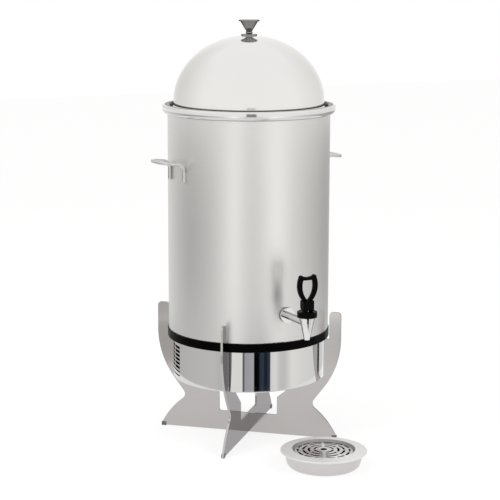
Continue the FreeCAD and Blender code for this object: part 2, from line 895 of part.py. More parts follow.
def half_plate_edges():
    """The outline of the half plate on +X, from the middle of its foot round to the window."""
    bowl_centre = (arm_radius - bowl_sweep, shoulder_height)
    angle = math.radians(bowl_angle)
    outward = (math.cos(angle), -math.sin(angle))
    bowl_end = (bowl_centre[0] + bowl_sweep * outward[0], bowl_centre[1] + bowl_sweep * outward[1])
    waist_in_z = waist_height - waist_round * outward[1]
    waist_in = (bowl_end[0] - math.tan(angle) * (bowl_end[1] - waist_in_z), waist_in_z)
    waist = (waist_in[0] + waist_round * outward[0], waist_height)
    leave = math.radians(waist_angle)
    waist_out = (waist[0] - waist_round * math.cos(leave), waist[1] - waist_round * math.sin(leave))
    foot = (foot_radius, glide_base)
    chord = (foot[0] - waist_out[0], foot[1] - waist_out[1])
    length = math.hypot(*chord)
    foot_middle = (
        (foot[0] + waist_out[0]) / 2.0 - foot_bulge * chord[1] / length,
        (foot[1] + waist_out[1]) / 2.0 + foot_bulge * chord[0] / length,
    )
    arm_inner = arm_radius - arm_width
    round_low = arm_top - arm_top_round
    outer_round = (arm_radius - arm_top_round, round_low)
    inner_round = (arm_inner + arm_top_round, round_low)
    ledge_end = cradle_radius - cradle_ledge
    corner = (cradle_radius - cradle_corner, cradle_floor + cradle_corner)
    window_top = window_floor + window_side
    sill = (window_half_width - window_round, window_floor + window_round)
    return [
        line((0, glide_base), foot),
        arc(foot, foot_middle, waist_out),
        arc(waist_out, (waist[0] - waist_round, waist[1]), waist_in),
        line(waist_in, bowl_end),
        quarter(bowl_centre, bowl_sweep, -bowl_angle, 0.0),
        line((arm_radius, shoulder_height), (arm_radius, round_low)),
        quarter(outer_round, arm_top_round, 0.0, 90.0),
        line((outer_round[0], arm_top), (inner_round[0], arm_top)),
        quarter(inner_round, arm_top_round, 90.0, 180.0),
        line((arm_inner, round_low), (arm_inner, shoulder_height)),
        line((arm_inner, shoulder_height), (cradle_radius, shoulder_height)),
        line((cradle_radius, shoulder_height), (cradle_radius, corner[1])),
        quarter(corner, cradle_corner, 0.0, -90.0),
        line((corner[0], cradle_floor), (ledge_end, cradle_floor)),
        line((ledge_end, cradle_floor), (window_half_width, window_top)),
        line((window_half_width, window_top), (window_half_width, sill[1])),
        quarter(sill, window_round, 0.0, -90.0),
        line((sill[0], window_floor), (0, window_floor)),
        line((0, window_floor), (0, glide_base)),
    ]


def stand_plate(slot_low, slot_high, bearing):
    """One whole plate on its bearing, with the half-height slot that takes the other plate."""
    half = Part.Face(Part.Wire(half_plate_edges())).extrude(Vector(0, plate_thickness, 0))
    half.translate(Vector(0, -plate_thickness / 2.0, 0))
    whole = half.fuse(half.mirror(Vector(), Vector(1, 0, 0))).removeSplitter()
    slot_half = plate_thickness / 2.0 + plate_slot_fit
    slot = block((-slot_half, -plate_thickness, slot_low), (slot_half, plate_thickness, slot_high))
    plate = whole.cut(slot)
    plate.rotate(Vector(), up, bearing - 90.0)
    return plate


slot_middle = (glide_base + window_floor) / 2.0


def foot_glides():
    """Four small channel-shaped glides, pushed onto the foot tips of both plates."""
    end = foot_radius - glide_inset
    start = end - glide_length
    half_out = plate_thickness / 2.0 + glide_wall
    outside = block((start, -half_out, 0.0), (end, half_out, glide_height))
    half_in = plate_thickness / 2.0
    channel = block((start - 1.0, -half_in, glide_base), (end + 1.0, half_in, glide_height + 1.0))
    glide = outside.cut(channel)
    glides = []
    for index in range(4):
        copy = glide.copy()
        copy.rotate(Vector(), up, plate_bearing - 90.0 + 90.0 * index)
        glides.append(copy)
    return Part.makeCompound(glides)


# Heater and controls

spreader_low = vessel_base - spreader_height
element_z = spreader_low - element_tube_radius
insulation_top = element_z - element_tube_radius
insulation_low = insulation_top - insulation_height
clamp_low = insulation_low - clamp_sheet
element_half_gap = math.radians(element_gap_angle / 2.0)
element_ends = [
    (side * element_ring_radius * math.sin(element_half_gap), element_ring_radius * math.cos(element_half_gap))
    for side in (-1.0, 1.0)
]


def heat_spreader():
    """Flat aluminium disc pressed against the vessel's bottom."""
    disc = rod(spreader_radius, spreader_low, vessel_base)
    return disc.cut(rod(stud_radius + stud_fit, spreader_low - 1.0, vessel_base + 1.0))


def heating_element():
    """Sheathed element: most of a circle, with both ends turned down to their terminals."""
    angle = 360.0 - element_gap_angle
    ring = Part.makeTorus(element_ring_radius, element_tube_radius, Vector(), up, 0, 360, angle)
    ring.rotate(Vector(), up, 90.0 + element_gap_angle / 2.0)
    ring.translate(Vector(0, 0, element_z))
    legs = []
    for x, y in element_ends:
        legs.append(Part.makeSphere(element_tube_radius, Vector(x, y, element_z)))
        legs.append(rod(element_tube_radius, element_z - element_leg, element_z, x, y))
    return ring.fuse(legs)


def insulation():
    """Mineral pad under the element, with holes for the stud and the element's ends."""
    pad = rod(insulation_radius, insulation_low, insulation_top)
    cutters = [rod(stud_radius + stud_fit, insulation_low - 1.0, insulation_top + 1.0)]
    for x, y in element_ends:
        cutters.append(rod(insulation_hole_radius, insulation_low - 1.0, insulation_top + 1.0, x, y))
    return pad.cut(cutters)


def clamp_plate():
    """Thin steel plate that presses the pad and the element up."""
    plate = rod(clamp_radius, clamp_low, insulation_low)
    cutters = [rod(stud_radius + stud_fit, clamp_low - 1.0, insulation_low + 1.0)]
    for x, y in element_ends:
        cutters.append(rod(insulation_hole_radius, clamp_low - 1.0, insulation_low + 1.0, x, y))
    return plate.cut(cutters)


def centre_stud():
    """Threaded stud welded under the middle of the vessel."""
    return rod(stud_radius, clamp_low - stud_below_clamp, vessel_base)


def centre_nut():
    """Nut that draws the clamp plate up."""
    nut = hexagon(stud_nut_flats, clamp_low - stud_nut_height, clamp_low)
    return nut.cut(rod(stud_radius + stud_fit / 2.0, clamp_low - stud_nut_height - 1.0, clamp_low + 1.0))


def thermostat():
    """Disc thermostat on the clamp plate, with a terminal pair below."""
    body = rod(thermostat_radius, clamp_low - thermostat_height, clamp_low, thermostat_offset, 0.0)
    rims = [edge for edge in body.Edges if edge.BoundBox.ZMax < clamp_low - thermostat_height + 0.01]
    return body.makeFillet(1.0, rims)


def thermal_cutoff():
    """One-shot cutoff on the clamp plate."""
    return rod(cutoff_radius, clamp_low - cutoff_height, clamp_low, -cutoff_offset, 0.0)


block_low = drum_base + drum_wall
block_top = block_low + terminal_block_height


def terminal_block():
    """Three-way terminal block on the drum's floor, with two fixing holes."""
    half_length = terminal_block_length / 2.0
    half_width = terminal_block_width / 2.0
    low = (-half_length, terminal_block_y - half_width, block_low)
    high = (half_length, terminal_block_y + half_width, block_top)
    body = block(low, high)
    cutters = []
    for x, y in block_screw_places():
        cutters.append(rod(block_screw_radius + screw_fit, block_low - 1.0, block_top - 4.0, x, y))
    return body.cut(cutters)


def block_screws():
    """Two screws from under the drum's floor into the terminal block."""
    screws = []
    for x, y in block_screw_places():
        head = rod(block_screw_head_radius, drum_base - block_screw_head, drum_base, x, y)
        screws.append(head.fuse(rod(block_screw_radius, drum_base, block_top - 5.0, x, y)))
    return Part.makeCompound(screws)


lead_level = (block_top + clamp_low - thermostat_height) / 2.0


def lead(start_x, end_x, end_z):
    """An insulated lead that rises from the block, runs level and rises to its terminal."""
    path = [
        (start_x, terminal_block_y, block_top),
        (start_x, terminal_block_y, lead_level),
        (end_x, 0.0, lead_level),
        (end_x, 0.0, end_z),
    ]
    return bent_rod(path, (lead_bend, lead_bend), lead_radius)


def thermostat_lead():
    """From the block to the thermostat."""
    return lead(terminal_pitch, thermostat_offset, clamp_low - thermostat_height)


def cutoff_lead():
    """From the block to the thermal cutoff."""
    return lead(-terminal_pitch, -cutoff_offset, clamp_low - cutoff_height)


def element_leads():
    """Two short leads straight up from the block to the element's ends."""
    low = block_top
    high = element_z - element_leg
    return Part.makeCompound([rod(lead_radius, low, high, x, y) for x, y in element_ends])


# Cord gland

def gland():
    """Moulded gland: saddle flange outside the drum, threaded body through its wall."""
    outer = drum_radius + gland_flange
    body = rod_y(gland_body_radius, drum_radius - gland_inside, outer, z=gland_height)
    saddle = rod_y(gland_flange_radius, drum_radius * 0.9, outer, z=gland_height)
    saddle = saddle.cut(rod(drum_radius, drum_base, drum_top))
    bore = rod_y(gland_bore_radius, drum_radius - gland_inside - 1.0, outer + 1.0, z=gland_height)
    return saddle.fuse(body).cut(bore)


def gland_nut():
    """Nut that holds the gland from inside the drum."""
    nut = hexagon(gland_nut_flats, 0.0, gland_nut_height)
    nut = nut.cut(rod(gland_body_radius + gland_wall_fit, -1.0, gland_nut_height + 1.0))
    nut.rotate(Vector(), Vector(1, 0, 0), 90)
    inner_face = math.sqrt((drum_radius - drum_wall) ** 2 - (gland_nut_flats / math.sqrt(3.0)) ** 2)
    nut.translate(Vector(0, inner_face - gland_wall_fit, gland_height))
    return nut


# Drip tray

tray_x = tray_distance * math.sin(math.radians(tray_bearing))
tray_y = -tray_distance * math.cos(math.radians(tray_bearing))
well_low_radius = tray_well_radius - tray_well_taper
ledge_z = tray_height - tray_well_depth - grid_sheet
flange_slope = tray_flange_fall / (tray_flange_radius - tray_well_radius)
bowl_top = tray_height - tray_sheet - flange_slope * (tray_bowl_radius - tray_well_radius)
grid_radius = well_low_radius - grid_fit
grid_ring_pitch = (grid_radius - grid_rim - grid_ring_first) / (len(grid_slots) - 1)


def at_tray(shape):
    """A shape made on the origin's axis, moved to the tray's place."""
    moved = shape.copy()
    moved.translate(Vector(tray_x, tray_y, 0))
    return moved


def tray_bowl():
    """Pressed bowl of the tray, its wall leaning out to the flange."""
    height = bowl_top
    outside = Part.makeCone(tray_foot_radius, tray_bowl_radius, height)
    outside = outside.makeFillet(tray_corner, rim_edges(outside, tray_foot_radius, 0.0))
    slope = (tray_bowl_radius - tray_foot_radius) / height
    inner_foot = tray_foot_radius - tray_sheet + slope * tray_sheet
    inner_top = inner_foot + slope * height
    inside = Part.makeCone(inner_foot, inner_top, height, Vector(0, 0, tray_sheet))
    inside = inside.makeFillet(tray_corner - tray_sheet, rim_edges(inside, inner_foot, tray_sheet))
    return at_tray(outside.cut(inside))


def tray_flange():
    """Flange ring that falls a little to its rolled edge, with the well and the grid's ledge."""
    outer = tray_flange_radius
    sheet = tray_sheet
    edge_top = tray_height - tray_flange_fall
    edge_low = edge_top - tray_flange_drop
    well_outer = well_low_radius + sheet
    lip_inner = outer - 2.0 * sheet
    ring = turned([
        (tray_well_radius, tray_height),
        (outer, edge_top),
        (outer, edge_low),
        (lip_inner, edge_low),
        (lip_inner, edge_top - sheet + flange_slope * (outer - lip_inner)),
        (tray_well_radius + sheet, tray_height - sheet - flange_slope * sheet),
        (well_outer, ledge_z - sheet),
        (well_low_radius - tray_ledge_width, ledge_z - sheet),
        (well_low_radius - tray_ledge_width, ledge_z),
        (well_low_radius, ledge_z),
    ])
    rims = rim_edges(ring, outer, edge_top) + rim_edges(ring, outer, edge_low)
    return at_tray(ring.makeFillet(tray_flange_round, rims))


def arc_slot(radius, width, start_angle, end_angle, low, high):
    """A curved slot cutter with square ends, between two angles in degrees."""
    ring = rod(radius + width / 2.0, low, high).cut(rod(radius - width / 2.0, low - 1.0, high + 1.0))
    reach = 2.0 * (radius + width)
    points = [Vector(0, 0, low)]
    steps = 4
    for step in range(steps + 1):
        angle = math.radians(start_angle + (end_angle - start_angle) * step / steps)
        points.append(Vector(reach * math.cos(angle), reach * math.sin(angle), low))
    wedge = Part.Face(Part.makePolygon(points + points[:1])).extrude(up * (high - low))
    return ring.common(wedge)


def drip_grid():
    """Slightly domed grid with a middle hole and rings of curved slots."""
    ball = (grid_radius ** 2 + grid_crown ** 2) / (2.0 * grid_crown)
    low = ledge_z
    high = ledge_z + grid_sheet
    disc = rod(grid_radius, low, high + grid_crown)
    top_ball = Part.makeSphere(ball, Vector(0, 0, high + grid_crown - ball), up, -90, 90, 360)
    low_ball = Part.makeSphere(ball, Vector(0, 0, low + grid_crown - ball), up, -90, 90, 360)
    plate = disc.common(top_ball)
    plate = plate.cut(low_ball)
    cutters = [rod(grid_hole_radius, low - 1.0, high + grid_crown + 1.0)]
    for index, count in enumerate(grid_slots):
        radius = grid_ring_first + grid_ring_pitch * index
        pitch = 360.0 / count
        gap = math.degrees(grid_bridge / radius)
        for slot in range(count):
            start = grid_bearing - 90.0 + pitch * slot + gap / 2.0
            cutters.append(arc_slot(radius, grid_slot, start, start + pitch - gap, low - 1.0, high + 3.0))
    return at_tray(plate.cut(cutters))


pieces = {
    "vessel_shell": vessel,
    "moulded_ring": moulded_ring,
    "base_drum": drum,
    "tie_bolts": tie_bolts,
    "tie_nuts": tie_nuts,
    "mouth_collar": collar,
    "lid_dome": lid,
    "knob_washer": knob_washer,
    "knob_bead": knob_bead,
    "lid_knob": knob,
    "lid_pad": lid_pad,
    "knob_screw": knob_screw,
    "carry_handle_left": lambda: carry_handle(-90.0 + handle_turn, handle_left_rise),
    "carry_handle_right": lambda: carry_handle(90.0 + handle_turn, handle_right_rise),
    "tap_body": tap_body,
    "tap_gasket": tap_gasket,
    "tap_inner_gasket": tap_inner_gasket,
    "tap_nut": tap_nut,
    "tap_seal": tap_seal,
    "tap_stem": tap_stem,
    "tap_bonnet": tap_bonnet,
    "tap_lever": tap_lever,
    "tap_pin": tap_pin,
    "stand_plate_front_left": lambda: stand_plate(glide_base - 1.0, slot_middle, plate_bearing),
    "stand_plate_front_right": lambda: stand_plate(slot_middle, window_floor + 1.0, plate_bearing + 90.0),
    "foot_glides": foot_glides,
    "heat_spreader": heat_spreader,
    "heating_element": heating_element,
    "insulation_pad": insulation,
    "clamp_plate": clamp_plate,
    "centre_stud": centre_stud,
    "centre_nut": centre_nut,
    "thermostat": thermostat,
    "thermal_cutoff": thermal_cutoff,
    "terminal_block": terminal_block,
    "block_screws": block_screws,
    "thermostat_lead": thermostat_lead,
    "cutoff_lead": cutoff_lead,
    "element_leads": element_leads,
    "cord_gland": gland,
    "gland_nut": gland_nut,
    "tray_bowl": tray_bowl,
    "tray_flange": tray_flange,
    "drip_grid": drip_grid,
}

os.makedirs("parts", exist_ok=True)
for name, make in pieces.items():
    make().exportStep(f"parts/{name}.step")
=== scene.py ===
import bpy
import numpy as np
from mathutils import Matrix, Vector

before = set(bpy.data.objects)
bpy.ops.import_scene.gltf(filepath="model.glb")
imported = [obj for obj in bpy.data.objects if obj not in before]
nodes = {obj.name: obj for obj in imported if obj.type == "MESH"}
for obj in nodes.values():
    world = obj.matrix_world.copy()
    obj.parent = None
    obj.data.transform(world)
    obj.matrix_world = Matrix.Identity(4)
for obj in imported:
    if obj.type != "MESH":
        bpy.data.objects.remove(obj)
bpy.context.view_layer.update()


# Studio
# White paper floor and white surround, lit by two soft boxes. Three round screens and a small
# dark card stand round the urn and show only in its polished metal: the pale and grey sides
# of the room, the dark gap beside the camera, and the camera itself.

scene = bpy.context.scene
scene.view_settings.view_transform = "Standard"

camera_side = np.radians(-27.3)
camera_distance = 2.7105
camera_height = 0.8256
camera_tilt = np.radians(10.608)
camera_yaw = 0.0009
camera_roll = np.radians(0.166)
camera_lens = 117.8
sensor_width = 36.0
farthest_seen = 50.0


def place_camera():
    """A camera from its place, its tilt and its small yaw and roll, all as directions."""
    sideways = Vector((np.cos(camera_side), np.sin(camera_side), 0.0))
    ahead = Vector((-np.sin(camera_side), np.cos(camera_side), 0.0))
    level = ahead * np.cos(camera_yaw) + sideways * np.sin(camera_yaw)
    right = sideways * np.cos(camera_yaw) - ahead * np.sin(camera_yaw)
    gaze = level * np.cos(camera_tilt) - Vector((0, 0, np.sin(camera_tilt)))
    top = right.cross(gaze)
    rolled_top = top * np.cos(camera_roll) - right * np.sin(camera_roll)
    rolled_right = right * np.cos(camera_roll) + top * np.sin(camera_roll)
    data = bpy.data.cameras.new("photo camera")
    data.lens = camera_lens
    data.sensor_width = sensor_width
    data.clip_end = farthest_seen
    camera = bpy.data.objects.new("photo camera", data)
    scene.collection.objects.link(camera)
    turn = Matrix((rolled_right, rolled_top, -gaze)).transposed().to_4x4()
    place = Vector((np.sin(camera_side), -np.cos(camera_side), 0.0)) * camera_distance
    place.z = camera_height
    camera.matrix_world = Matrix.Translation(place) @ turn
    scene.camera = camera


def stage_sheet(name, points, faces, material):
    """A mesh of the studio, which isn't part of the urn."""
    mesh = bpy.data.meshes.new(name)
    mesh.from_pydata(points, [], faces)
    mesh.materials.append(material)
    sheet = bpy.data.objects.new(name, mesh)
    scene.collection.objects.link(sheet)
    return sheet


def floor_paper(white, glow, catch, sheen):
    """Paper that glows for the camera, save for the share called catch, which shows shadows.

    In polished metal the share called sheen glows too, so that reflections stay even.
    """
    material = bpy.data.materials.new("floor paper")
    material.use_nodes = True
    tree = material.node_tree
    tree.nodes.clear()
    output = tree.nodes.new("ShaderNodeOutputMaterial")
    lit = tree.nodes.new("ShaderNodeBsdfDiffuse")
    lit.inputs["Color"].default_value = (white, white, white, 1.0)
    light = tree.nodes.new("ShaderNodeEmission")
    light.inputs["Strength"].default_value = glow
    seen = tree.nodes.new("ShaderNodeMixShader")
    seen.inputs[0].default_value = catch
    reflected_light = tree.nodes.new("ShaderNodeEmission")
    reflected_light.inputs["Strength"].default_value = white
    mirrored = tree.nodes.new("ShaderNodeMixShader")
    mirrored.inputs[0].default_value = sheen
    tree.links.new(lit.outputs[0], mirrored.inputs[1])
    tree.links.new(reflected_light.outputs[0], mirrored.inputs[2])
    path = tree.nodes.new("ShaderNodeLightPath")
    bounce = tree.nodes.new("ShaderNodeMixShader")
    tree.links.new(path.outputs["Is Glossy Ray"], bounce.inputs[0])
    tree.links.new(lit.outputs[0], bounce.inputs[1])
    tree.links.new(mirrored.outputs[0], bounce.inputs[2])
    tree.links.new(light.outputs[0], seen.inputs[1])
    tree.links.new(lit.outputs[0], seen.inputs[2])
    choose = tree.nodes.new("ShaderNodeMixShader")
    tree.links.new(path.outputs["Is Camera Ray"], choose.inputs[0])
    tree.links.new(bounce.outputs[0], choose.inputs[1])
    tree.links.new(seen.outputs[0], choose.inputs[2])
    tree.links.new(choose.outputs[0], output.inputs["Surface"])
    return material


def light_surround(fill_strength, fill_tint):
    """World that is white to the camera and in reflections, and soft as light."""
    world = bpy.data.worlds.new("white studio")
    scene.world = world
    world.use_nodes = True
    tree = world.node_tree
    tree.nodes.clear()
    output = tree.nodes.new("ShaderNodeOutputWorld")
    seen = tree.nodes.new("ShaderNodeBackground")
    seen.inputs["Strength"].default_value = 1.0
    seen.inputs["Color"].default_value = (1.0, 1.0, 1.0, 1.0)
    fill = tree.nodes.new("ShaderNodeBackground")
    fill.inputs["Strength"].default_value = fill_strength
    fill.inputs["Color"].default_value = (*fill_tint, 1.0)
    path = tree.nodes.new("ShaderNodeLightPath")
    either = tree.nodes.new("ShaderNodeMath")
    either.operation = "MAXIMUM"
    mix = tree.nodes.new("ShaderNodeMixShader")
    tree.links.new(path.outputs["Is Camera Ray"], either.inputs[0])
    tree.links.new(path.outputs["Is Glossy Ray"], either.inputs[1])
    tree.links.new(either.outputs[0], mix.inputs[0])
    tree.links.new(fill.outputs[0], mix.inputs[1])
    tree.links.new(seen.outputs[0], mix.inputs[2])
    tree.links.new(mix.outputs[0], output.inputs["Surface"])


lamp_aim = Vector((0, 0, 0.35))


def soft_box(name, side, height, distance, wide, tall, power):
    """A large area lamp at an angle from the camera's side, aimed at the urn's middle."""
    data = bpy.data.lights.new(name, "AREA")
    data.shape = "RECTANGLE"
    data.size = wide
    data.size_y = tall
    data.energy = power
    lamp = bpy.data.objects.new(name, data)
    scene.collection.objects.link(lamp)
    turn = camera_side + np.radians(side)
    place = Vector((np.sin(turn) * distance, -np.cos(turn) * distance, height))
    lamp.location = place
    lamp.rotation_euler = (lamp_aim - place).to_track_quat("-Z", "Y").to_euler()
    lamp.visible_glossy = False


def plain_emission(name):
    """A surface that keeps its tone whatever the light, and the node that gives the tone."""
    material = bpy.data.materials.new(name)
    material.use_nodes = True
    tree = material.node_tree
    tree.nodes.clear()
    output = tree.nodes.new("ShaderNodeOutputMaterial")
    glow = tree.nodes.new("ShaderNodeEmission")
    tree.links.new(glow.outputs[0], output.inputs["Surface"])
    return material, glow


def show_in_metal_only(sheet):
    """The sheet throws no light or shadow and shows only in polished metal."""
    sheet.visible_camera = False
    sheet.visible_diffuse = False
    sheet.visible_transmission = False
    sheet.visible_shadow = False


def grey(angle, tone):
    """A screen tone with the faint warmth of grey card."""
    return (angle, tone, tone * 0.995, tone * 0.975)


def upright_card(start, end, distance, low, high):
    """Corners and face of an upright card between two angles from the camera's side.

    A foot of the card is at distance times the sine and minus the cosine of its angle.
    """
    turns = camera_side + np.radians([start, end])
    feet = [(float(np.sin(turn)) * distance, float(-np.cos(turn)) * distance) for turn in turns]
    corners = [(*feet[0], low), (*feet[1], low), (*feet[1], high), (*feet[0], high)]
    return corners, [(0, 1, 2, 3)]


def reflector(name, radius, levels, tones, palest=0.96):
    """A round screen: points at an angle and a height, toned by angle and paler by height.

    An angle is measured from the camera's side, and the tone runs straight between two
    listed angles. A level gives a height and how far the tone has gone to the palest there.
    """
    columns = 720
    angle = np.linspace(-180.0, 180.0, columns, endpoint=False)
    turn = camera_side + np.radians(angle)
    ring = np.column_stack([np.sin(turn) * radius, -np.cos(turn) * radius])
    stops = np.array([tone[0] for tone in tones])
    shades = np.array([tone[1:] for tone in tones])
    shade = np.column_stack([np.interp(angle, stops, shades[:, band]) for band in range(3)])
    here = np.arange(columns)
    ahead = (here + 1) % columns
    step = np.column_stack([here, here + columns, ahead + columns, ahead])
    points = np.vstack([np.column_stack([ring, np.full(columns, z)]) for z, pale in levels])
    color = np.vstack([shade + (palest - shade) * pale for z, pale in levels])
    faces = np.vstack([step + row * columns for row in range(len(levels) - 1)])
    material, glow = plain_emission(name)
    painted = material.node_tree.nodes.new("ShaderNodeAttribute")
    painted.attribute_name = "tone"
    material.node_tree.links.new(painted.outputs["Color"], glow.inputs["Color"])
    screen = stage_sheet(name, points.tolist(), faces.tolist(), material)
    layer = screen.data.color_attributes.new("tone", "FLOAT_COLOR", "POINT")
    layer.data.foreach_set("color", np.column_stack([color, np.ones(len(color))]).ravel())
    show_in_metal_only(screen)


place_camera()
light_surround(fill_strength=0.75, fill_tint=(1.0, 0.995, 0.985))
reach = 6.0
corners = [(-reach, -reach, 0), (reach, -reach, 0), (reach, reach, 0), (-reach, reach, 0)]
stage_sheet("floor", corners, [(0, 1, 2, 3)],
            floor_paper(white=0.88, glow=1.12, catch=0.30, sheen=0.85))
soft_box("left soft box", side=-55.0, height=1.6, distance=2.2, wide=1.2, tall=1.6, power=22.0)
soft_box("right soft box", side=50.0, height=1.5, distance=2.2, wide=1.0, tall=1.4, power=14.0)
reflector("high screen", radius=0.90, levels=[(0.0, 0.0), (0.43, 0.0), (0.485, 1.0)], tones=[
    grey(-180, 0.82), grey(-141, 0.82), grey(-107, 0.58), grey(-86, 0.41), grey(-60, 0.50),
    grey(-45, 0.62), grey(-31, 0.80), grey(-19, 1.18), grey(-12, 0.96), grey(-4, 0.75),
    grey(5, 0.68), grey(14, 0.74), grey(22, 0.90), grey(35, 1.17), grey(50, 0.92),
    grey(65, 0.74), grey(83, 0.62), grey(103, 0.53), grey(134, 0.40), grey(180, 0.80)])
reflector("low screen", radius=0.50, levels=[(0.0, 0.0), (0.086, 0.0)], tones=[
    grey(-180, 0.54), grey(-117, 0.52), grey(-74, 0.58), grey(-47, 0.60), grey(-38, 0.56),
    grey(-26, 0.60), grey(-24, 0.84), grey(-7.8, 0.84), (-7, 0.08, 0.09, 0.14),
    (-5.4, 0.10, 0.12, 0.18), (-4.6, 0.38, 0.39, 0.42), (7.2, 0.44, 0.43, 0.46),
    (7.8, 0.001, 0.001, 0.002), (13.6, 0.001, 0.002, 0.003), (16, 0.026, 0.040, 0.058),
    (20, 0.035, 0.050, 0.070), (21.5, 0.014, 0.020, 0.032), (25, 0.014, 0.020, 0.032),
    (26, 0.034, 0.043, 0.062), (29, 0.034, 0.043, 0.062), grey(30, 0.78), grey(37, 0.84),
    grey(43, 0.66), grey(50, 0.64), grey(62, 0.88), grey(72, 0.85), grey(90, 0.79),
    grey(120, 0.74), grey(180, 0.54)])
reflector("tall screen", radius=1.50, levels=[(0.40, 0.0), (1.00, 0.0), (2.60, 1.0)], tones=[
    grey(-180, 1.01), grey(-165, 0.94), grey(-150, 0.80), grey(-128, 0.78), grey(-108, 0.84),
    grey(-94, 0.90), grey(-81, 0.97), grey(-68, 1.01), grey(74, 1.01), grey(88, 0.96),
    grey(102, 0.93), grey(118, 0.88), grey(138, 0.84), grey(160, 0.92), grey(180, 1.01)], palest=1.0)
card_black, card_glow = plain_emission("camera body")
card_glow.inputs["Color"].default_value = (0.01, 0.01, 0.01, 1.0)
card_corners, card_face = upright_card(start=-3.0, end=9.0, distance=0.88, low=0.466, high=0.490)
show_in_metal_only(stage_sheet("camera body", card_corners, card_face, card_black))


# Vessel
# Deep-drawn stainless vessel with a hole for the tap. It is satin polished round its wall,
# so faint lines run round it, and the weld of its wall is ground flush at the back.

class Value:
    """A number that changes over a surface; arithmetic on it adds the matching Math nodes."""

    def __init__(self, finish, socket):
        self.finish = finish
        self.socket = socket

    def math(self, operation, *terms):
        """Adds one Math node on the terms, which are values or plain numbers."""
        made = self.finish.node("ShaderNodeMath", {"operation": operation}, dict(enumerate(terms)))
        return Value(self.finish, made.outputs[0])

    def __add__(self, other):
        return self.math("ADD", self, other)

    def __sub__(self, other):
        return self.math("SUBTRACT", self, other)

    def __mul__(self, other):
        return self.math("MULTIPLY", self, other)

    __radd__ = __add__
    __rmul__ = __mul__

    def __rsub__(self, other):
        return self.math("SUBTRACT", other, self)

    def step(self, low, high):
        """0 below low, 1 above high and a smooth step between them."""
        made = self.finish.node("ShaderNodeMapRange", {"interpolation_type": "SMOOTHSTEP"},
                                {"Value": self, "From Min": low, "From Max": high})
        return Value(self.finish, made.outputs["Result"])


